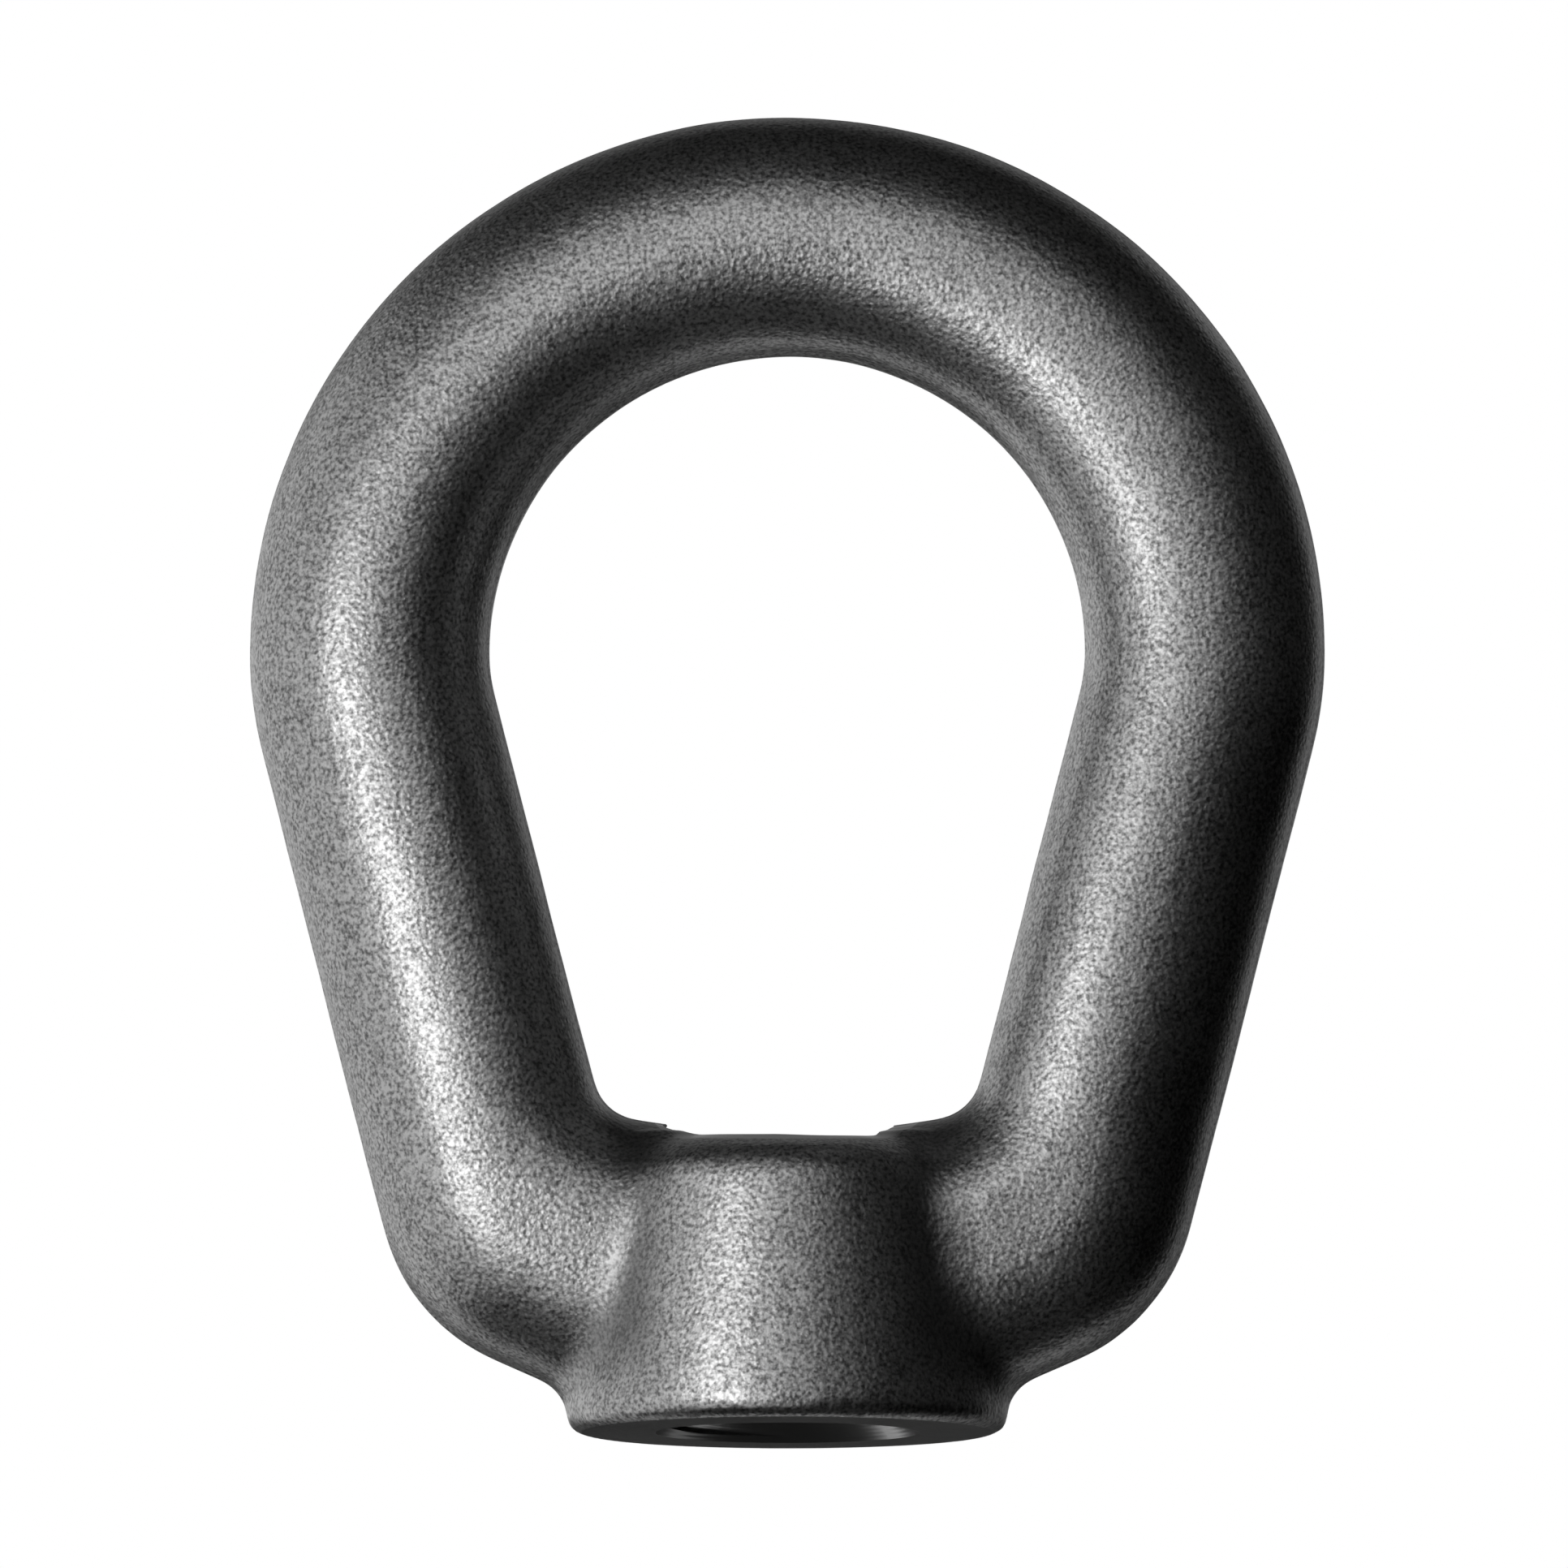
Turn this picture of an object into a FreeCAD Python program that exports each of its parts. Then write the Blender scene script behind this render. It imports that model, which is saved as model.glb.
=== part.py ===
"""Forged lifting eye nut: one solid, standing on the face of its boss.

Millimetres. The thread axis is Z, the base face lies in z = 0, and the eye lies in the XZ plane.
"""
import math
import os

import FreeCAD
import Part
import Sketcher
from FreeCAD import Vector

# Driving dimensions: name, value in millimetres or degrees, and what it measures.
SIZES = [
    ("eye_width", 38.1, "clear width of the eye, 1 1/2 inch"),
    ("eye_length", 49.75, "clear height of the eye"),
    ("stock", 15.0, "thickness of the bow, seen from the front and from the side"),
    ("parting_land", 0.6, "flat left round the bow where the forging flash was trimmed"),
    ("shoulder_radius", 17.8, "centre-line radius where the bow turns from its round top into a leg"),
    ("seat_width", 24.9, "clear width at the bottom of the eye, where the corners start to turn in"),
    ("saddle_radius", 60.0, "shallow dish along the bottom of the eye"),
    ("inner_corner", 3.3, "radius in the two lower corners of the eye"),
    ("outer_corner", 12.3, "outside radius where a leg turns into its arm"),
    ("arm_underside", 2.25, "height of the underside of the arms where they run level in the boss"),
    ("arm_swell", 1.75, "how much taller the arms are than the bow is thick, at their roots"),
    ("arm_angle", 23.8, "degrees that the underside of an arm rises away from the boss"),
    ("arm_rise_start", 10.8, "distance from the axis at which the underside starts to rise"),
    ("arm_toe_radius", 9.0, "radius in the underside where it starts to rise"),
    ("boss_wall", 7.3, "wall of the boss round the bore, at the base"),
    ("boss_taper", 10.0, "degrees that the side of the boss leans in"),
    ("boss_shoulder", 2.4, "radius between the side of the boss and its crown"),
    ("boss_crown", 30.0, "radius of the domed crown"),
    ("crown_rise", 0.15, "how far the undrilled crown would stand above the bottom of the eye"),
    ("base_edge", 0.9, "radius round the edge of the base face"),
    ("arm_blend", 2.5, "forged fillet between the arms and the boss"),
    ("thread_bore", 13.6, "bore of the 5/8-11 UNC thread, between its crests"),
    ("mouth_depth", 1.55, "depth of the countersink in the base"),
    ("mouth_angle", 90.0, "included angle of the countersink"),
]
size = {name: value for name, value, note in SIZES}

# Heights that follow from the sizes above, as the sheet works them out and as numbers.
SADDLE = "(sizes.arm_underside + sizes.stock + sizes.arm_swell)"
saddle_height = size["arm_underside"] + size["stock"] + size["arm_swell"]
EYE = f"({SADDLE} + sizes.eye_length - sizes.eye_width / 2)"
eye_height = saddle_height + size["eye_length"] - size["eye_width"] / 2

# Points of a sketch's curves, and the sketch's own axes, as the sketcher numbers them.
START, END, CENTRE = 1, 2, 3
ACROSS, UP = -1, -2


def add_sheet(doc):
    """Spreadsheet with one named cell for each driving dimension."""
    sheet = doc.addObject("Spreadsheet::Sheet", "sizes")
    for row, (name, value, note) in enumerate(SIZES, start=1):
        sheet.set(f"A{row}", name)
        sheet.set(f"B{row}", str(value))
        sheet.setAlias(f"B{row}", name)
        sheet.set(f"C{row}", note)
    doc.recompute()


def origin_plane(body, role):
    return next(item for item in body.Origin.OriginFeatures if item.Role == role)


def add_sketch(body, name, role):
    sketch = body.newObject("Sketcher::SketchObject", name)
    sketch.AttachmentSupport = [(origin_plane(body, role), "")]
    sketch.MapMode = "FlatFace"
    return sketch


def arc(centre, radius, start, end):
    """Arc of a circle for a sketch, anticlockwise between two angles in degrees."""
    circle = Part.Circle(centre, Vector(0, 0, 1), radius)
    return Part.ArcOfCircle(circle, math.radians(start), math.radians(end))


def line(start_x, start_y, end_x, end_y):
    return Part.LineSegment(Vector(start_x, start_y, 0), Vector(end_x, end_y, 0))


def constrain(sketch, kind, places):
    for place in places:
        sketch.addConstraint(Sketcher.Constraint(kind, *place))


def dimension(sketch, expression, kind, *place):
    """Adds a dimension and ties it to the sheet. The last item of place is its first value."""
    index = sketch.addConstraint(Sketcher.Constraint(kind, *place))
    sketch.setExpression(f"Constraints[{index}]", expression)


def finish_feature(body, feature):
    body.Tip = feature
    body.Document.recompute()
    return feature


def add_fillet(body, name, base, edges, expression):
    fillet = body.newObject("PartDesign::Fillet", name)
    fillet.Base = (base, edges)
    fillet.setExpression("Radius", expression)
    return finish_feature(body, fillet)


def meeting_point(first_way, first_distance, second_way, second_distance):
    """Point that lies these distances from the sketch's origin, measured along two ways."""
    cross = first_way.x * second_way.y - first_way.y * second_way.x
    across = (first_distance * second_way.y - second_distance * first_way.y) / cross
    up = (second_distance * first_way.x - first_distance * second_way.x) / cross
    return Vector(across, up, 0)


def draw_half_bow(body):
    """Right half of the bow and its arm seen from the front, closed along the thread axis."""
    inside = size["eye_width"] / 2
    outside = inside + size["stock"]
    saddle = size["saddle_radius"]
    corner = size["inner_corner"]
    heel = size["outer_corner"]
    toe = size["arm_toe_radius"]
    rise = math.radians(size["arm_angle"])

    # Centres of the arcs: eye, shoulder, lower corner inside, toe and lower corner outside.
    eye_centre = Vector(0, eye_height, 0)
    turn_centre = Vector(inside + size["stock"] / 2 - size["shoulder_radius"], eye_height, 0)
    inner_turn = size["shoulder_radius"] - size["stock"] / 2
    outer_turn = size["shoulder_radius"] + size["stock"] / 2
    corner_x = size["seat_width"] / 2 - corner
    dish = math.asin(corner_x / (saddle - corner))
    corner_centre = Vector(corner_x, saddle_height + saddle - (saddle - corner) * math.cos(dish), 0)
    span = turn_centre - corner_centre
    lean = math.acos((corner - inner_turn) / span.Length) - math.atan2(span.y, span.x)
    out_of_leg = Vector(math.cos(lean), -math.sin(lean), 0)
    toe_centre = Vector(size["arm_rise_start"], size["arm_underside"] + toe, 0)
    into_arm = Vector(-math.sin(rise), math.cos(rise), 0)
    heel_centre = meeting_point(out_of_leg, turn_centre.dot(out_of_leg) + outer_turn - heel,
                                into_arm, toe_centre.dot(into_arm) - toe + heel)

    sketch = add_sketch(body, "half_bow_outline", "XZ_Plane")
    add = sketch.addGeometry
    outer_top = add(arc(eye_centre, outside, 0, 90))
    outer_shoulder = add(arc(turn_centre, outer_turn, -math.degrees(lean), 0))
    outer_leg = add(Part.LineSegment(turn_centre + out_of_leg * outer_turn, heel_centre + out_of_leg * heel))
    outer_corner = add(arc(heel_centre, heel, size["arm_angle"] - 90, -math.degrees(lean)))
    arm_rise = add(Part.LineSegment(heel_centre - into_arm * heel, toe_centre - into_arm * toe))
    arm_toe = add(arc(toe_centre, toe, -90, size["arm_angle"] - 90))
    arm_level = add(line(size["arm_rise_start"], size["arm_underside"], 0, size["arm_underside"]))
    lower_cut = add(line(0, size["arm_underside"], 0, saddle_height))
    eye_bottom = add(arc(Vector(0, saddle_height + saddle, 0), saddle, -90, math.degrees(dish) - 90))
    inner_corner = add(arc(corner_centre, corner, math.degrees(dish) - 90, -math.degrees(lean)))
    inner_leg = add(Part.LineSegment(corner_centre + out_of_leg * corner,
                                     turn_centre + out_of_leg * inner_turn))
    inner_shoulder = add(arc(turn_centre, inner_turn, -math.degrees(lean), 0))
    inner_top = add(arc(eye_centre, inside, 0, 90))
    upper_cut = add(line(0, eye_height + inside, 0, eye_height + outside))

    constrain(sketch, "Tangent", [
        (outer_top, START, outer_shoulder, END),
        (outer_shoulder, START, outer_leg, START),
        (outer_leg, END, outer_corner, END),
        (outer_corner, START, arm_rise, START),
        (arm_rise, END, arm_toe, END),
        (arm_toe, START, arm_level, START),
        (eye_bottom, END, inner_corner, START),
        (inner_corner, END, inner_leg, START),
        (inner_leg, END, inner_shoulder, START),
    ])
    constrain(sketch, "Coincident", [
        (arm_level, END, lower_cut, START),
        (lower_cut, END, eye_bottom, START),
        (inner_shoulder, END, inner_top, START),
        (inner_top, END, upper_cut, START),
        (upper_cut, END, outer_top, END),
        (inner_top, CENTRE, outer_top, CENTRE),
        (inner_shoulder, CENTRE, outer_shoulder, CENTRE),
    ])
    constrain(sketch, "PointOnObject", [
        (outer_top, CENTRE, UP),
        (outer_top, END, UP),
        (inner_top, END, UP),
        (eye_bottom, CENTRE, UP),
        (lower_cut, START, UP),
        (lower_cut, END, UP),
    ])
    constrain(sketch, "Horizontal", [
        (arm_level,),
        (outer_top, CENTRE, outer_top, START),
        (inner_top, CENTRE, inner_top, START),
    ])
    constrain(sketch, "Parallel", [(inner_leg, outer_leg)])

    dimension(sketch, "sizes.eye_width / 2", "Radius", inner_top, inside)
    dimension(sketch, "sizes.eye_width / 2 + sizes.stock", "Radius", outer_top, outside)
    dimension(sketch, "sizes.shoulder_radius + sizes.stock / 2", "Radius", outer_shoulder, outer_turn)
    dimension(sketch, "sizes.outer_corner", "Radius", outer_corner, heel)
    dimension(sketch, "sizes.arm_toe_radius", "Radius", arm_toe, toe)
    dimension(sketch, "sizes.saddle_radius", "Radius", eye_bottom, saddle)
    dimension(sketch, "sizes.inner_corner", "Radius", inner_corner, corner)
    dimension(sketch, "sizes.arm_angle * 1 deg", "Angle", ACROSS, START, arm_rise, END, rise)
    dimension(sketch, EYE, "DistanceY", ACROSS, START, outer_top, CENTRE, eye_height)
    dimension(sketch, SADDLE, "DistanceY", ACROSS, START, eye_bottom, START, saddle_height)
    dimension(sketch, "sizes.arm_underside", "DistanceY", ACROSS, START, arm_toe, START, toe_centre.y - toe)
    dimension(sketch, "sizes.arm_rise_start", "DistanceX", ACROSS, START, arm_toe, START, toe_centre.x)
    dimension(sketch, "sizes.seat_width / 2 - sizes.inner_corner", "DistanceX",
              ACROSS, START, inner_corner, CENTRE, corner_x)
    return sketch


def add_bow(body):
    """Bow and arms: the half outline padded and mirrored, then rounded like bar stock."""
    half = body.newObject("PartDesign::Pad", "half_bow")
    half.Profile = draw_half_bow(body)
    half.SideType = "Symmetric"
    half.setExpression("Length", "sizes.stock")
    finish_feature(body, half)

    whole = body.newObject("PartDesign::Mirrored", "whole_bow")
    whole.Originals = [half]
    whole.MirrorPlane = (origin_plane(body, "YZ_Plane"), [""])
    finish_feature(body, whole)

    # The edges of the front and back faces, which lie flat half the stock from the middle.
    depth = size["stock"] / 2
    edges = []
    for number, edge in enumerate(whole.Shape.Edges, start=1):
        box = edge.BoundBox
        if box.YLength < 0.001 and abs(abs(box.Center.y) - depth) < 0.001:
            edges.append(f"Edge{number}")
    add_fillet(body, "bow_rounding", whole, edges, "(sizes.stock - sizes.parting_land) / 2")


def draw_half_boss(body):
    """Half section of the boss: flat base, tapered side, rounded shoulder and domed crown."""
    foot = size["thread_bore"] / 2 + size["boss_wall"]
    taper = math.radians(size["boss_taper"])
    shoulder = size["boss_shoulder"]
    crown = size["boss_crown"]
    top = saddle_height + size["crown_rise"]

    # The shoulder starts close to its place, and the constraints then hold it there.
    shoulder_height = top - 1.3 * shoulder
    shoulder_x = foot - shoulder / math.cos(taper) - shoulder_height * math.tan(taper)
    shoulder_centre = Vector(shoulder_x, shoulder_height, 0)
    dome_centre = Vector(0, top - crown, 0)
    meeting = shoulder_centre - dome_centre
    meeting_angle = math.degrees(math.atan2(meeting.y, meeting.x))

    sketch = add_sketch(body, "half_boss_outline", "XZ_Plane")
    add = sketch.addGeometry
    base = add(line(0, 0, foot, 0))
    rounded = add(arc(shoulder_centre, shoulder, size["boss_taper"], meeting_angle))
    side = add(Part.LineSegment(Vector(foot, 0, 0), sketch.getPoint(rounded, START)))
    dome = add(arc(dome_centre, crown, meeting_angle, 90))
    axis = add(line(0, top, 0, 0))

    constrain(sketch, "Tangent", [
        (side, END, rounded, START),
        (rounded, END, dome, START),
    ])
    constrain(sketch, "Coincident", [
        (base, START, ACROSS, START),
        (base, END, side, START),
        (dome, END, axis, START),
        (axis, END, base, START),
    ])
    constrain(sketch, "PointOnObject", [
        (dome, END, UP),
        (dome, CENTRE, UP),
    ])
    constrain(sketch, "Horizontal", [(base,)])

    dimension(sketch, "sizes.thread_bore / 2 + sizes.boss_wall", "Distance", base, foot)
    dimension(sketch, f"{SADDLE} + sizes.crown_rise", "Distance", axis, top)
    dimension(sketch, "sizes.boss_taper * 1 deg", "Angle", UP, START, side, START, taper)
    dimension(sketch, "sizes.boss_shoulder", "Radius", rounded, shoulder)
    dimension(sketch, "sizes.boss_crown", "Radius", dome, crown)
    return sketch


def add_boss(body):
    """Tapered boss that holds the thread, turned about the thread axis."""
    boss = body.newObject("PartDesign::Revolution", "boss")
    boss.Profile = draw_half_boss(body)
    boss.ReferenceAxis = (boss.Profile[0], ["V_Axis"])
    boss.Angle = 360
    finish_feature(body, boss)


def add_hole(body):
    """Hole drilled up through the boss into the open eye, countersunk at the base."""
    sketch = add_sketch(body, "hole_outline", "XY_Plane")
    circle = sketch.addGeometry(Part.Circle(Vector(0, 0, 0), Vector(0, 0, 1), size["thread_bore"] / 2))
    constrain(sketch, "Coincident", [(circle, CENTRE, ACROSS, START)])
    dimension(sketch, "sizes.thread_bore", "Diameter", circle, size["thread_bore"])
    body.Document.recompute()

    hole = body.newObject("PartDesign::Hole", "threaded_hole")
    hole.Profile = sketch
    hole.Reversed = True
    hole.DepthType = "Dimension"
    hole.setExpression("Depth", f"{SADDLE} + sizes.eye_length / 2")
    hole.DrillPoint = "Flat"
    hole.setExpression("Diameter", "sizes.thread_bore")
    hole.HoleCutType = "Countersink"
    hole.setExpression("HoleCutDiameter",
                       "sizes.thread_bore + 2 * sizes.mouth_depth * tan(sizes.mouth_angle / 2 * 1 deg)")
    hole.setExpression("HoleCutCountersinkAngle", "sizes.mouth_angle")
    finish_feature(body, hole)


def is_level_or_bored(face):
    """True for the base face and for the wall of the hole."""
    surface = face.Surface
    return isinstance(surface, (Part.Plane, Part.Cylinder)) and abs(surface.Axis.z) > 0.999


def is_boss_side(face):
    """True for the side, shoulder and crown of the boss, all turned about the thread axis."""
    surface = face.Surface
    if isinstance(surface, (Part.Cone, Part.Toroid)):
        return abs(surface.Axis.z) > 0.999 and math.hypot(surface.Center.x, surface.Center.y) < 0.001
    return isinstance(surface, Part.Sphere)


def is_arm(face):
    return not is_boss_side(face) and not is_level_or_bored(face)


def add_blends(body):
    """Forged fillets where the arms run into the boss, and the rounded edge of the base."""
    drilled = body.Tip
    faces = {}
    for face in drilled.Shape.Faces:
        for edge in face.Edges:
            faces.setdefault(edge.hashCode(), []).append(face)
    roots = []
    for number, edge in enumerate(drilled.Shape.Edges, start=1):
        sides = faces[edge.hashCode()]
        if any(is_boss_side(face) for face in sides) and any(is_arm(face) for face in sides):
            roots.append(f"Edge{number}")
    blended = add_fillet(body, "arm_blend", drilled, roots, "sizes.arm_blend")

    base = next(face for face in blended.Shape.Faces
                if is_level_or_bored(face) and face.BoundBox.ZLength < 0.001)
    rim = {edge.hashCode() for edge in base.OuterWire.Edges}
    edges = [f"Edge{number}" for number, edge in enumerate(blended.Shape.Edges, start=1)
             if edge.hashCode() in rim]
    add_fillet(body, "base_rounding", blended, edges, "sizes.base_edge")


def check(doc):
    """Stops with a message if any object failed or holds no sound shape."""
    for item in doc.Objects:
        if "Invalid" in item.State or "Error" in item.State:
            raise RuntimeError(f"{item.Name} did not compute: {item.State}")
        if item.isDerivedFrom("PartDesign::Feature"):
            if item.Shape.isNull() or not item.Shape.isValid():
                raise RuntimeError(f"{item.Name} has no sound shape")


doc = FreeCAD.newDocument("lifting_eye_nut")
add_sheet(doc)
eye_nut = doc.addObject("PartDesign::Body", "eye_nut")
eye_nut.Label = "eye_nut"
add_bow(eye_nut)
add_boss(eye_nut)
add_hole(eye_nut)
add_blends(eye_nut)
check(doc)
os.makedirs("parts", exist_ok=True)
eye_nut.Shape.exportStep(f"parts/{eye_nut.Label}.step")
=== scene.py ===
"""Lifting eye nut: one drop-forged steel piece, with a tapped hole that breaks out into its eye."""
import math

import bmesh
import bpy
from mathutils import Matrix, Vector, noise


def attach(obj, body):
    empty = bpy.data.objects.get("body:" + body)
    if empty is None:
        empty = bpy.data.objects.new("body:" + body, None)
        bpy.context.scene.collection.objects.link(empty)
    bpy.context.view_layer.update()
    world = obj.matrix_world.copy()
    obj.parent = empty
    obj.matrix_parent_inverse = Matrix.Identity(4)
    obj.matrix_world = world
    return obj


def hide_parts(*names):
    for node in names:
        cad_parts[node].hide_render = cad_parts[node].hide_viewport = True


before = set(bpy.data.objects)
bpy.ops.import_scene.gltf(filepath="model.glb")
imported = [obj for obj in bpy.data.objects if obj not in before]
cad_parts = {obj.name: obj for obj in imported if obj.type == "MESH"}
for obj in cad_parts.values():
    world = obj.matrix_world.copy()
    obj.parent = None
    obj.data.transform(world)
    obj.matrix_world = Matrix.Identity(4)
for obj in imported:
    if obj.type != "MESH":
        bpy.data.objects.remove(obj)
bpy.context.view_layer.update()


# The forging
# One piece of carbon steel, struck hot between two dies: a pear-shaped bow on a short tapered boss.
# The dies part in the middle of its depth, where the flash was trimmed off and a low land stays.
# Shot blasting then took the scale off, so it is evenly dimpled but for what was machined later.
MM = 0.001                  # the meshes are worked in millimetres and scaled to metres at the end
REMESH_STEP = 0.39          # even faces, small enough for the blends and edges of the forging
SMOOTHING_PASSES = 13       # takes out the flats of the CAD mesh
SMOOTHING_LOSS = 0.03       # what those passes take off a 15 mm round bar, given back afterwards
DIE_WAVES = ((9.0, 0.05), (3.5, 0.018))     # size and height of the unevenness that dies leave
WAVES_START = (0.8, 3.0)    # heights over the base between which it comes in
LAND_HALF_WIDTH = 0.55      # half of the trimmed flash land on the parting plane
LAND_EDGE = 0.35            # over which the land falls away on each side
LAND_HEIGHT = 0.09
SADDLE_HEIGHT = 19.0        # bottom of the eye, and the radius that it is dished to
SADDLE_RADIUS = 60.0
ARM_ROUNDING = 7.2          # radius of the arms' upper edges
CROWN_TOP = 19.15           # the boss's crown, before the hole takes its middle away
CROWN_RADIUS = 30.0
CROWN_DISH = 0.42           # how much higher the crown's edge stands beside the arms than in front
CROWN_FOOT = (16.0, 17.8)   # heights between which that comes in
CROWN_HEAD = (18.5, 19.1)   # and goes out again, where the arms begin
CROWN_RIM = (8.0, 11.0)     # distances from the thread axis between which it goes out
BOSS_FOOT = 14.1            # radius of the boss at its base, and how much it loses with height
BOSS_TAPER = math.tan(math.radians(10))
ARM_ROOT_PASSES = 48        # makes the arms' roots fuller beside the boss
ARM_ROOT_BAND = (1.5, 3.5)  # distances from the boss's side between which that goes out
ARM_ROOT_THROUGH = (2.5, 5.0)   # distances from the parting plane between which it comes in
ARM_ROOT_ACROSS = (6.0, 8.5)    # the same from the middle of the eye
ARM_ROOT_UP = (3.0, 6.0)        # and from the base
THREAD_ROOT = 7.94          # radius of the thread's grooves, which is as wide as the hole gets
PLUG_FOOT = 9.2             # the plug fills the countersunk mouth, then the bore
PLUG_STEP = (3.0, 4.0)      # heights between which it narrows
PLUG_RADIUS = 7.1
PLUG_RING = 5.0             # a ring of points in its top, which follows the crown
PLUG_TOP = 18.0


def new_piece(name, mesh):
    piece = bpy.data.objects.new(name, mesh)
    bpy.context.scene.collection.objects.link(piece)
    return piece


def with_modifier(piece, kind, **settings):
    """Runs one modifier on a piece and keeps the result as its mesh."""
    modifier = piece.modifiers.new(kind, kind)
    for setting, value in settings.items():
        setattr(modifier, setting, value)
    depsgraph = bpy.context.evaluated_depsgraph_get()
    result = bpy.data.meshes.new_from_object(piece.evaluated_get(depsgraph), depsgraph=depsgraph)
    piece.modifiers.clear()
    piece.data = result


def turned(name, outline, segments=96):
    """A closed solid turned about the thread axis. The outline runs from axis to axis, bottom up."""
    shape = bmesh.new()
    turns = [2 * math.pi * step / segments for step in range(segments)]
    rings = []
    for radius, height in outline:
        rings.append([shape.verts.new((radius * math.cos(turn), radius * math.sin(turn), height))
                      for turn in (turns if radius else turns[:1])])
    for low, high in zip(rings, rings[1:]):
        for step in range(segments):
            after = (step + 1) % segments
            corners = [low[step % len(low)], low[after % len(low)],
                       high[after % len(high)], high[step % len(high)]]
            shape.faces.new(list(dict.fromkeys(corners)))
    return closed_piece(name, shape)


def closed_piece(name, shape):
    """Makes a piece of a bmesh solid, with its faces turned outwards."""
    bmesh.ops.recalc_face_normals(shape, faces=shape.faces)
    mesh = bpy.data.meshes.new(name)
    shape.to_mesh(mesh)
    shape.free()
    return new_piece(name, mesh)


def rise(value, low, high):
    """0 below low and 1 above high, with a smooth rise between them."""
    share = min(max((value - low) / (high - low), 0.0), 1.0)
    return share * share * (3 - 2 * share)


forging_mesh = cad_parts["eye_nut"].data.copy()
forging_mesh.transform(Matrix.Scale(1 / MM, 4))
forging_mesh.materials.clear()
forging = new_piece("forged_eye_nut", forging_mesh)


# The blank comes from the dies with no hole, so a plug closes the hole until it is cut again.
def closed_top(across, through):
    """Height of the forging over the hole before it is drilled: the crown, or the arms beside it."""
    crown = CROWN_TOP - (across ** 2 + through ** 2) / (2 * CROWN_RADIUS)
    dish = SADDLE_HEIGHT + across ** 2 / (2 * SADDLE_RADIUS)
    return max(crown, dish - ARM_ROUNDING + math.sqrt(ARM_ROUNDING ** 2 - through ** 2))


plug = turned("plug", [(0, 0), (PLUG_FOOT, 0), (PLUG_FOOT, PLUG_STEP[0]), (PLUG_RADIUS, PLUG_STEP[1]),
                       (PLUG_RADIUS, PLUG_TOP), (PLUG_RING, PLUG_TOP), (0, PLUG_TOP)])
for vertex in plug.data.vertices:
    if vertex.co.z == PLUG_TOP:
        vertex.co.z = closed_top(vertex.co.x, vertex.co.y)
blank = bmesh.new()
blank.from_mesh(forging.data)
blank.from_mesh(plug.data)
blank.to_mesh(forging.data)
blank.free()
bpy.data.objects.remove(plug)

with_modifier(forging, "REMESH", mode="VOXEL", voxel_size=REMESH_STEP, use_smooth_shade=True)
with_modifier(forging, "SMOOTH", factor=0.5, iterations=SMOOTHING_PASSES)

# Beside the boss the arms run into it with a fuller radius than under it.
arm_roots = forging.vertex_groups.new(name="arm_roots")
for vertex in forging.data.vertices:
    across, through, up = vertex.co
    off_boss = abs(math.hypot(across, through) - (BOSS_FOOT - up * BOSS_TAPER))
    share = ((1 - rise(off_boss, *ARM_ROOT_BAND)) * rise(abs(through), *ARM_ROOT_THROUGH)
             * rise(abs(across), *ARM_ROOT_ACROSS) * rise(up, *ARM_ROOT_UP))
    if share > 0:
        arm_roots.add([vertex.index], share, "REPLACE")
with_modifier(forging, "SMOOTH", factor=0.5, iterations=ARM_ROOT_PASSES, vertex_group=arm_roots.name)
forging.vertex_groups.clear()

normals = [vertex.normal.copy() for vertex in forging.data.vertices]
for vertex, normal in zip(forging.data.vertices, normals):
    place = vertex.co.copy()
    waves = sum(height * noise.noise(place / size) for size, height in DIE_WAVES)
    land = 1 - rise(abs(place.y), LAND_HALF_WIDTH, LAND_HALF_WIDTH + LAND_EDGE)
    off_base = rise(place.z, *WAVES_START)
    vertex.co += normal * (SMOOTHING_LOSS + (waves + LAND_HEIGHT * land) * off_base)
    # The crown is dished along the eye as the saddle is, which a turned crown can't be.
    from_axis = math.hypot(place.x, place.y)
    crown = (rise(place.z, *CROWN_FOOT) * (1 - rise(place.z, *CROWN_HEAD))
             * (1 - rise(from_axis, *CROWN_RIM)))
    vertex.co.z += CROWN_DISH * (place.x / THREAD_ROOT) ** 2 * crown


# The machined hole and base face
# The base is faced square to the hole, which is drilled, countersunk and tapped 5/8-11 UNC.
# The tap runs right through, so the thread's turns show where the hole breaks out into the eye.
PITCH = 25.4 / 11
THREAD_CREST = 6.83         # radius, just clear of the bore in the solid
CREST_FLAT = 1 / 4          # the thread form's widths as shares of the pitch
FLANK = 5 / 16
ROOT_FLAT = 1 / 8
EXIT_LEVEL = 19.3           # a crest of the thread lies here on the right, where it enters the eye
TURNS_BELOW = 10            # that the tap cuts under that crest and over it
TURNS_ABOVE = 2
FACED_LEVEL = 0.01
FACING_RADIUS = 20.0        # the facing cut takes all that lies under the base
FACING_START = -2.0
MOUTH_RADIUS = 8.35         # the countersink loses as much radius as it gains height
MOUTH_DEPTH = 1.55
SINK_START = -1.0           # its tool starts under the base and ends a little past the cone
SINK_PAST = 0.5
CRISP_EDGE = math.radians(35)       # edges that turn by more than this stay sharp


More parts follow.
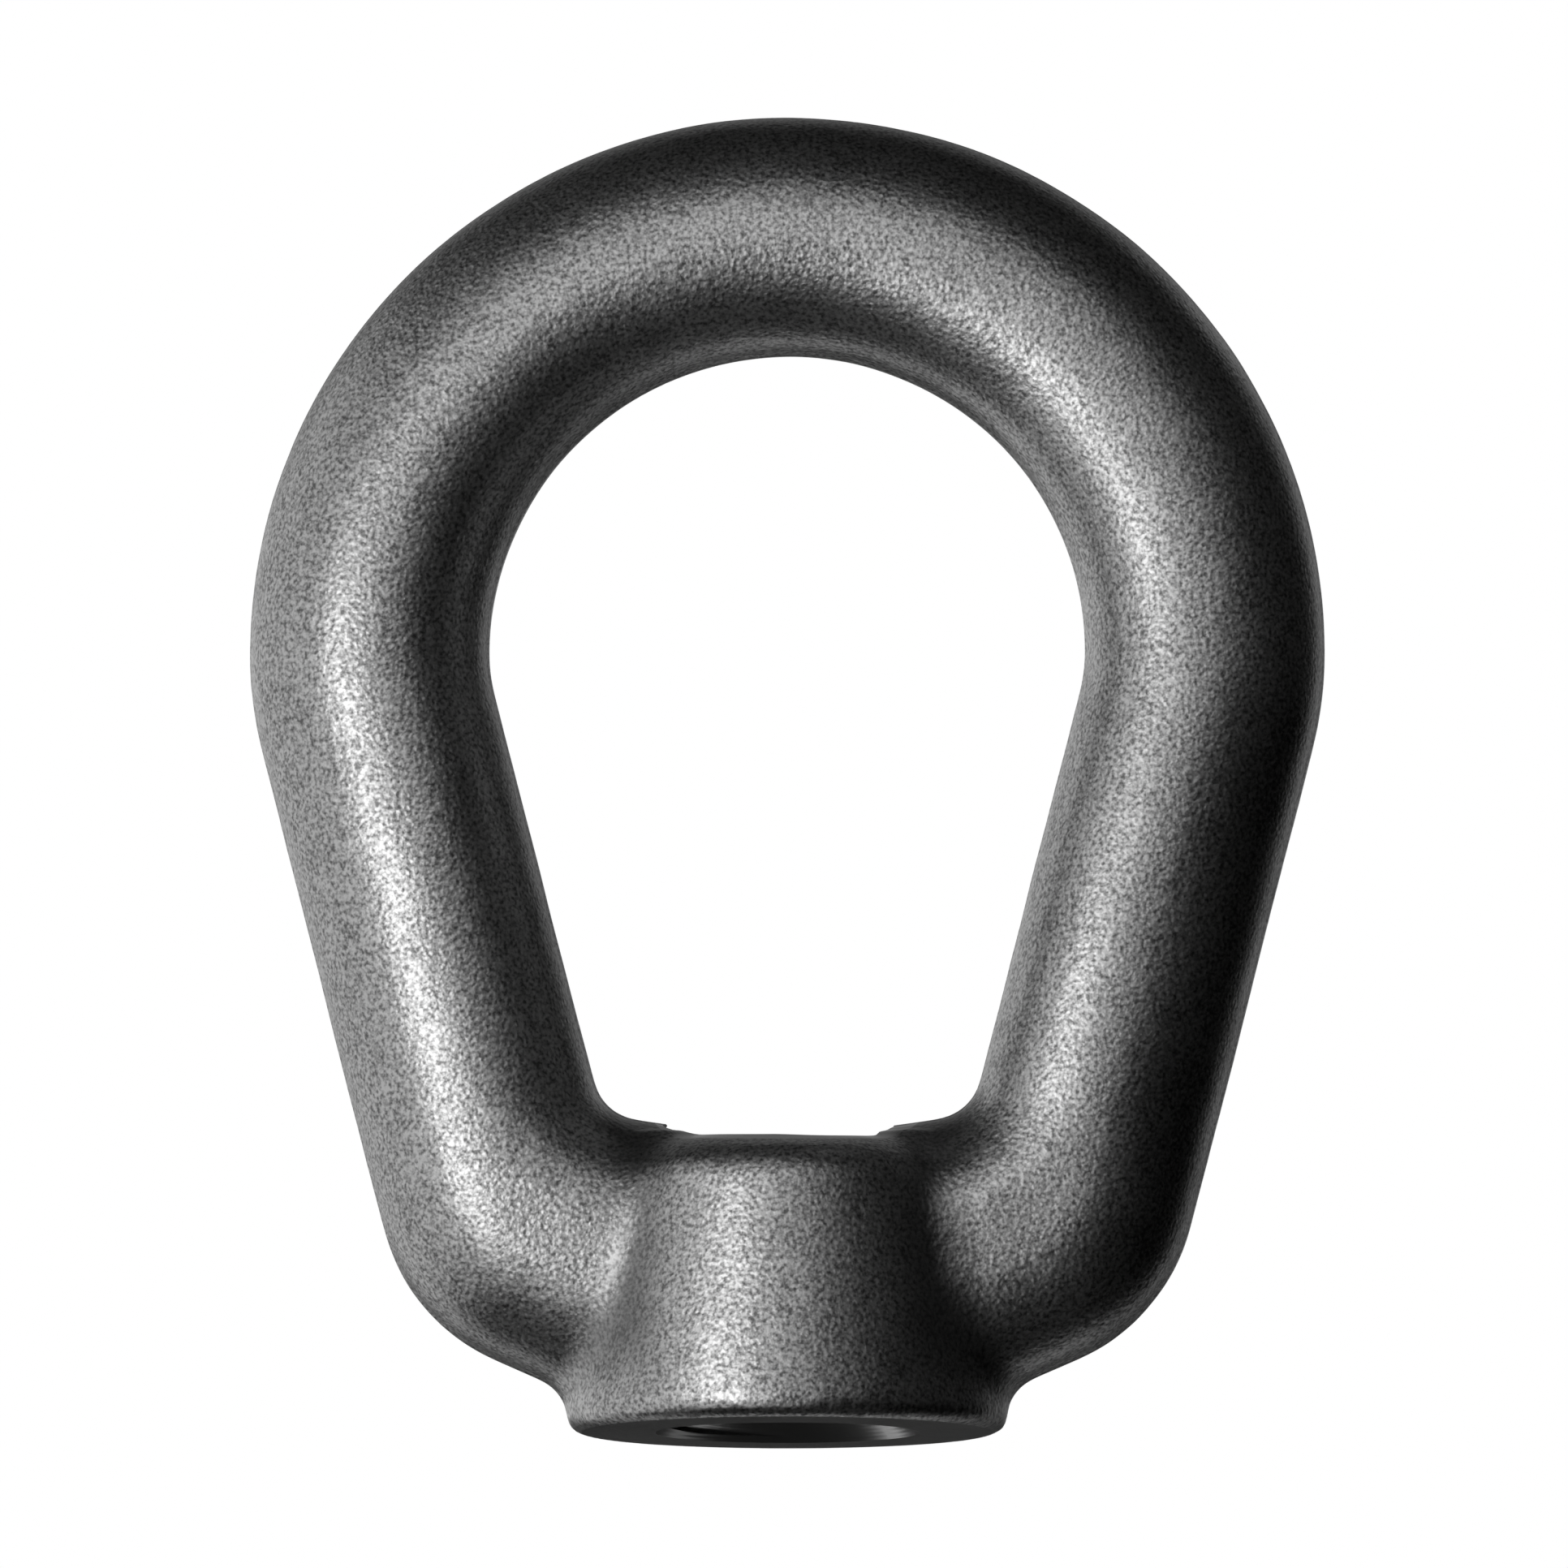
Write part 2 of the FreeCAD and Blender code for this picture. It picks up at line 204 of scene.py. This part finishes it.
def tap(name, low, high, segments=96):
    """The solid that a tap cuts away: a right-hand thread form wound about the thread axis."""
    form = [(THREAD_CREST, 0), (THREAD_CREST, CREST_FLAT), (THREAD_ROOT, CREST_FLAT + FLANK),
            (THREAD_ROOT, CREST_FLAT + FLANK + ROOT_FLAT)]
    shape = bmesh.new()
    turns = math.ceil((high - low) / PITCH)
    rows = []
    for step in range((turns + 1) * segments + 1):
        angle = 2 * math.pi * step / segments
        base = low + PITCH * step / segments
        rows.append([shape.verts.new((radius * math.cos(angle), radius * math.sin(angle),
                                      base + share * PITCH)) for radius, share in form])
    for step in range(turns * segments):
        here = rows[step] + [rows[step + segments][0]]
        there = rows[step + 1] + [rows[step + segments + 1][0]]
        for corner in range(len(form)):
            shape.faces.new((here[corner], there[corner], there[corner + 1], here[corner + 1]))
    for first in (0, turns * segments):
        around = [rows[first + step][0] for step in range(segments + 1)] + rows[first][:0:-1]
        centre = shape.verts.new((0, 0, low + PITCH * (first / segments + 0.5)))
        for here, there in zip(around, around[1:] + around[:1]):
            shape.faces.new((here, there, centre))
    loose = [vertex for vertex in shape.verts if not vertex.link_faces]
    bmesh.ops.delete(shape, geom=loose, context="VERTS")
    return closed_piece(name, shape)


sink_tip = MOUTH_DEPTH + SINK_PAST
cutters = [
    turned("facing_cut", [(0, FACING_START), (FACING_RADIUS, FACING_START),
                          (FACING_RADIUS, FACED_LEVEL), (0, FACED_LEVEL)]),
    turned("countersink", [(0, SINK_START), (MOUTH_RADIUS - SINK_START, SINK_START),
                           (MOUTH_RADIUS - sink_tip, sink_tip), (0, sink_tip)]),
    tap("tap", EXIT_LEVEL - (TURNS_BELOW + CREST_FLAT / 2) * PITCH, EXIT_LEVEL + TURNS_ABOVE * PITCH),
]
for cutter in cutters:
    with_modifier(forging, "BOOLEAN", operation="DIFFERENCE", solver="EXACT", object=cutter)
    bpy.data.objects.remove(cutter)
forging.data.transform(Matrix.Scale(MM, 4))
forging.data.shade_smooth()
forging.data.set_sharp_from_angle(angle=CRISP_EDGE)


# The finish
# Carbon steel, hot forged and shot blasted: a dark satin grey with overlapping shallow dimples, which
# break the light into fine grain. The cut faces are even and smoother, with fine rings from the tool.
def colour(code):
    """An sRGB hex colour as linear red, green, blue and alpha."""
    parts = [int(code[start:start + 2], 16) / 255 for start in (1, 3, 5)]
    return [part / 12.92 if part <= 0.04045 else ((part + 0.055) / 1.055) ** 2.4
            for part in parts] + [1.0]


def add(tree, kind, inputs=(), **settings):
    """Adds a node. An input is a pair of its name or number and a value or an output socket."""
    node = tree.nodes.new(kind)
    for name, value in settings.items():
        if hasattr(node, name):
            setattr(node, name, value)
        else:
            node.inputs[name.replace("_", " ")].default_value = value
    for name, value in inputs:
        if isinstance(value, bpy.types.NodeSocket):
            tree.links.new(value, node.inputs[name])
        else:
            node.inputs[name].default_value = value
    return node


BLASTED = colour("#a8a8a8")         # the ridges between the dimples, clean blasted steel
BLASTED_DARK = colour("#585858")    # the bottoms of the dimples, where some scale is left, and the painted shade in the arm roots
FACED = colour("#6a6a6a")           # the base face, a darker grey than the blasted steel
MACHINED = colour("#909090")        # cut steel, dulled by a film of tapping oil
DIMPLE = 0.34 * MM                  # width of one shot dimple
DIMPLE_DEPTH = 0.026 * MM
SPECK = 0.26 * MM                   # specks of dark scale, smaller than a dimple
SPECK_DARK = 0.30                   # the specks' noise where all is dark scale, and where all is clean
SPECK_CLEAN = 0.64
PIT = 1.7 * MM                      # spacing of the deeper scale pits
PIT_SHIFT = 0.08                    # how much they darken or clear the specks
PATCH = 9 * MM                      # size of the patches that are a little more or less satin
PATCH_GLOSSY = 0.36                 # roughness of the glossiest patch and of the dullest
PATCH_DULL = 0.44
CUT_ROUGHNESS = 0.28
TOOL_FEED = 0.22 * MM               # the real feed is about 0.1 mm, too fine to show
TOOL_RIDGE = 0.002 * MM
CUT_MARGIN = 0.03 * MM              # past the mouth's radius, so that its edge is bare too
HOLE_END = 22 * MM                  # a height over the hole and under the top of the eye
FACE_MARGIN = 0.02 * MM             # over the faced level, so that all of the base is found
ROOT_SHADE_BAND = 3.0 * MM              # past the boss's side, where the painted shade in the arm roots ends
ROOT_SHADE_ACROSS = (6.5 * MM, 9.5 * MM)    # from the middle of the eye, where it comes in
ROOT_SHADE_UP = (1 * MM, 6 * MM)            # and from the base
ROOT_SHADE_TONE = 0.35                  # share of the blasted tone that stays under the painted shade there

steel = bpy.data.materials.new("shot_blasted_forged_steel")
steel.use_nodes = True
tree = steel.node_tree
tree.nodes.clear()
position = add(tree, "ShaderNodeTexCoord").outputs["Object"]
axes = add(tree, "ShaderNodeSeparateXYZ", [("Vector", position)])
flat_position = add(tree, "ShaderNodeCombineXYZ", [("X", axes.outputs["X"]), ("Y", axes.outputs["Y"])])
radius = add(tree, "ShaderNodeVectorMath", [("Vector", flat_position.outputs["Vector"])],
             operation="LENGTH").outputs["Value"]

grain = add(tree, "ShaderNodeTexNoise", [("Vector", position)], Scale=1 / DIMPLE, Detail=2.5,
            Roughness=0.55)
dimples = add(tree, "ShaderNodeTexVoronoi", [("Vector", position)], feature="SMOOTH_F1",
              Scale=1 / DIMPLE, Smoothness=0.5)
specks = add(tree, "ShaderNodeTexNoise", [("Vector", position)], Scale=1 / SPECK, Detail=1.5)
pits = add(tree, "ShaderNodeTexNoise", [("Vector", position)], Scale=1 / PIT, Detail=3.0)
patches = add(tree, "ShaderNodeTexNoise", [("Vector", position)], Scale=1 / PATCH, Detail=2.0)

# Cut faces: all that lies inside the mouth's radius. The base was faced before the blasting.
in_hole = add(tree, "ShaderNodeMath", [(0, radius), (1, MOUTH_RADIUS * MM + CUT_MARGIN)],
              operation="LESS_THAN")
under_eye = add(tree, "ShaderNodeMath", [(0, axes.outputs["Z"]), (1, HOLE_END)], operation="LESS_THAN")
cut = add(tree, "ShaderNodeMath", [(0, in_hole.outputs[0]), (1, under_eye.outputs[0])],
          operation="MULTIPLY").outputs[0]
base = add(tree, "ShaderNodeMath", [(0, axes.outputs["Z"]), (1, FACED_LEVEL * MM + FACE_MARGIN)],
           operation="LESS_THAN")

shift = add(tree, "ShaderNodeMapRange", [("Value", pits.outputs["Fac"])], To_Min=-PIT_SHIFT,
            To_Max=PIT_SHIFT)
worn = add(tree, "ShaderNodeMath", [(0, specks.outputs["Fac"]), (1, shift.outputs["Result"])],
           operation="ADD")
tone = add(tree, "ShaderNodeMapRange", [("Value", worn.outputs[0])], From_Min=SPECK_DARK,
           From_Max=SPECK_CLEAN)

# Painted shade: the roots of the arms beside the boss are darkened, for the shade that falls in the
# valleys there.
boss_size = add(tree, "ShaderNodeMath", [(0, axes.outputs["Z"]), (1, BOSS_TAPER), (2, radius)],
                operation="MULTIPLY_ADD")
near_boss = add(tree, "ShaderNodeMapRange", [("Value", boss_size.outputs[0])],
                interpolation_type="SMOOTHSTEP", From_Min=BOSS_FOOT * MM,
                From_Max=BOSS_FOOT * MM + ROOT_SHADE_BAND, To_Min=1, To_Max=0)
off_middle = add(tree, "ShaderNodeMath", [(0, axes.outputs["X"])], operation="ABSOLUTE")
beside = add(tree, "ShaderNodeMapRange", [("Value", off_middle.outputs[0])],
             interpolation_type="SMOOTHSTEP", From_Min=ROOT_SHADE_ACROSS[0], From_Max=ROOT_SHADE_ACROSS[1])
over_base = add(tree, "ShaderNodeMapRange", [("Value", axes.outputs["Z"])],
                interpolation_type="SMOOTHSTEP", From_Min=ROOT_SHADE_UP[0], From_Max=ROOT_SHADE_UP[1])
beside_boss = add(tree, "ShaderNodeMath", [(0, near_boss.outputs["Result"]),
                                           (1, beside.outputs["Result"])], operation="MULTIPLY")
root_shade_mask = add(tree, "ShaderNodeMath", [(0, beside_boss.outputs[0]), (1, over_base.outputs["Result"])],
              operation="MULTIPLY")
root_shade_level = add(tree, "ShaderNodeMapRange", [("Value", root_shade_mask.outputs[0])], To_Min=1,
              To_Max=ROOT_SHADE_TONE)
# The random specks, darkened further by the painted shade in the arm roots.
specks_with_root_shade = add(tree, "ShaderNodeMath", [(0, tone.outputs["Result"]), (1, root_shade_level.outputs["Result"])],
              operation="MULTIPLY")

# A Mix node's sockets 2 and 3 are its two numbers, 4 and 5 its vectors, 6 and 7 its colours.
blasted = add(tree, "ShaderNodeMix", data_type="RGBA",
              inputs=[(0, specks_with_root_shade.outputs[0]), (6, BLASTED_DARK), (7, BLASTED)])
faced = add(tree, "ShaderNodeMix", data_type="RGBA",
            inputs=[(0, base.outputs[0]), (6, blasted.outputs[2]), (7, FACED)])
surface = add(tree, "ShaderNodeMix", data_type="RGBA",
              inputs=[(0, cut), (6, faced.outputs[2]), (7, MACHINED)])

satin = add(tree, "ShaderNodeMapRange", [("Value", patches.outputs["Fac"])], From_Min=0.3,
            From_Max=0.7, To_Min=PATCH_GLOSSY, To_Max=PATCH_DULL)
gloss = add(tree, "ShaderNodeMix", data_type="FLOAT",
            inputs=[(0, cut), (2, satin.outputs["Result"]), (3, CUT_ROUGHNESS)])

relief = add(tree, "ShaderNodeMath", [(0, grain.outputs["Fac"]), (1, dimples.outputs["Distance"])],
             operation="ADD")
blasted_bump = add(tree, "ShaderNodeBump", [("Height", relief.outputs[0])], Strength=1.0,
                   Distance=DIMPLE_DEPTH)
rings = add(tree, "ShaderNodeMath", [(0, radius), (1, 2 * math.pi / TOOL_FEED)], operation="MULTIPLY")
ring_wave = add(tree, "ShaderNodeMath", [(0, rings.outputs[0])], operation="SINE")
cut_bump = add(tree, "ShaderNodeBump", [("Height", ring_wave.outputs[0])], Strength=1.0,
               Distance=TOOL_RIDGE)
bump = add(tree, "ShaderNodeMix", data_type="VECTOR",
           inputs=[(0, cut), (4, blasted_bump.outputs["Normal"]), (5, cut_bump.outputs["Normal"])])
shader = add(tree, "ShaderNodeBsdfPrincipled", [("Base Color", surface.outputs[2]),
                                                ("Roughness", gloss.outputs[0]),
                                                ("Normal", bump.outputs[1])], Metallic=1.0)
add(tree, "ShaderNodeOutputMaterial", [("Surface", shader.outputs["BSDF"])])

forging.data.materials.append(steel)
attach(forging, "root")
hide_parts("eye_nut")


# The surroundings
# White to the camera and in the steel, which would mirror it all round and look pale.
# So dark boards that only reflections see stand about the nut, as they do round a shiny product.
FILL = 0.8                  # strength with which the surroundings light, where 1 is white

scene = bpy.context.scene
scene.view_settings.view_transform = "Standard"
world = bpy.data.worlds.new("studio")
scene.world = world
world.use_nodes = True
tree = world.node_tree
tree.nodes.clear()
path = add(tree, "ShaderNodeLightPath")
seen = add(tree, "ShaderNodeMath", [(0, path.outputs["Is Camera Ray"]),
                                    (1, path.outputs["Is Glossy Ray"])], operation="MAXIMUM")
seen = add(tree, "ShaderNodeMath", [(0, seen.outputs[0]), (1, path.outputs["Is Transmission Ray"])],
           operation="MAXIMUM")
strength = add(tree, "ShaderNodeMapRange", [("Value", seen.outputs[0])], To_Min=FILL)
background = add(tree, "ShaderNodeBackground", [("Color", colour("#ffffff")),
                                                ("Strength", strength.outputs[0])])
add(tree, "ShaderNodeOutputWorld", [("Surface", background.outputs["Background"])])


def board(name, centre, facing, width, height):
    """A flat board at centre, turned to face a point."""
    mesh = bpy.data.meshes.new(name)
    half = Vector((width / 2, height / 2))
    mesh.from_pydata([(-half.x, -half.y, 0), (half.x, -half.y, 0), (half.x, half.y, 0),
                      (-half.x, half.y, 0)], [], [(0, 1, 2, 3)])
    piece = new_piece(name, mesh)
    piece.location = centre
    piece.rotation_euler = (Vector(facing) - Vector(centre)).to_track_quat("Z", "Y").to_euler()
    return piece


def hide_from(piece, *sights):
    for sight in sights:
        setattr(piece, "visible_" + sight, False)


for name, centre, facing, width, height, level in (
        ("flag_right", (0.70, -0.10, -0.6), (0, -0.10, -0.6), 1.8, 1.25, 0.0),
        ("card_right", (0.70, -0.10, 0.55), (0, -0.10, 0.55), 1.8, 1.05, 0.02),
        ("flag_behind_right", (0.62, 1.2, 0.0), (0, 0, 0.0), 0.8, 2.4, 0.38),
        ("flag_behind_top", (-0.15, 1.2, 0.85), (0, 0, 0.1), 1.7, 1.0, 0.23),
        ("flag_behind_low", (0, 1.2, -0.52), (0, 0, -0.52), 1.6, 1.0, 0.02),
        ("flag_front", (0.36, -1.0, -0.48), (0.36, 0, -0.48), 0.78, 1.46, 0.0),
        ("flag_front_right", (0.62, -1.0, 0.55), (0, 0, 0.1), 0.55, 1.0, 0.3),
        ("flag_top", (-0.15, -0.1, 0.9), (-0.15, -0.1, 0), 1.7, 2.0, 0.02),
        ("flag_under", (-0.15, -0.2, -0.8), (-0.15, -0.2, 0), 1.7, 1.6, 0.02)):
    flag = board(name, centre, facing, width, height)
    card = bpy.data.materials.new(name)
    card.use_nodes = True
    card.node_tree.nodes.clear()
    glow = add(card.node_tree, "ShaderNodeEmission", Strength=level)
    add(card.node_tree, "ShaderNodeOutputMaterial", [("Surface", glow.outputs[0])])
    flag.data.materials.append(card)
    hide_from(flag, "camera", "diffuse", "transmission", "shadow")


# The floor
# Pale paint. The camera stands a little below the base, so the floor is painted on its upper side
# only and shows from above, where it keeps the nut's shadow.
FLOOR_LEVEL = -0.0002
FLOOR_SIZE = 8

floor = board("floor", (0, 0, FLOOR_LEVEL), (0, 0, 1), FLOOR_SIZE, FLOOR_SIZE)
paint = bpy.data.materials.new("floor_paint")
paint.use_nodes = True
tree = paint.node_tree
tree.nodes.clear()
pale = add(tree, "ShaderNodeBsdfDiffuse", [("Color", colour("#f4f4f2"))])
clear = add(tree, "ShaderNodeBsdfTransparent")
side = add(tree, "ShaderNodeNewGeometry")
sided = add(tree, "ShaderNodeMixShader", [(0, side.outputs["Backfacing"]), (1, pale.outputs[0]),
                                          (2, clear.outputs[0])])
add(tree, "ShaderNodeOutputMaterial", [("Surface", sided.outputs[0])])
floor.data.materials.append(paint)
hide_from(floor, "diffuse", "glossy", "transmission", "shadow")


# The lamps
# Four small soft discs close to the left front, which light the near leg more than the far one.
# They light the nut alone, so that the floor under them stays even, and the camera doesn't see them.
LAMP_AIM = -0.01            # across, from the middle of the eye, at each lamp's own height

lit = bpy.data.collections.new("lit_by_lamps")
lit.objects.link(forging)
for name, place, width, radiance in (
        ("key_low", (-0.058, -0.125, 0.018), 0.06, 2.4),
        ("key_middle", (-0.060, -0.090, 0.020), 0.04, 3.1),
        ("key_high", (-0.060, -0.090, 0.050), 0.04, 3.1),
        ("top_light", (0.0, -0.090, 0.080), 0.04, 1.1)):
    lamp = bpy.data.lights.new(name, "AREA")
    lamp.shape = "DISK"
    lamp.size = width
    lamp.energy = radiance * math.pi * math.pi * (width / 2) ** 2
    lamp_piece = bpy.data.objects.new(name, lamp)
    scene.collection.objects.link(lamp_piece)
    lamp_piece.location = place
    away = Vector(place) - Vector((LAMP_AIM, 0, place[2]))
    lamp_piece.rotation_euler = away.to_track_quat("Z", "Y").to_euler()
    lamp_piece.light_linking.receiver_collection = lit
    hide_from(lamp_piece, "camera")


# The camera
# A long lens at 1.75 m in front, a little to the right and a little below the base.
CAMERA_PLACE = Vector((0.0729, -1.7395, -0.1350))
CAMERA_AIM = Vector((-0.0002, 0, 0.0413))

lens = bpy.data.cameras.new("camera")
lens.sensor_width = 36
lens.lens = 633
camera = bpy.data.objects.new("camera", lens)
scene.collection.objects.link(camera)
camera.location = CAMERA_PLACE
camera.rotation_euler = (CAMERA_AIM - CAMERA_PLACE).to_track_quat("-Z", "Y").to_euler()
scene.camera = camera
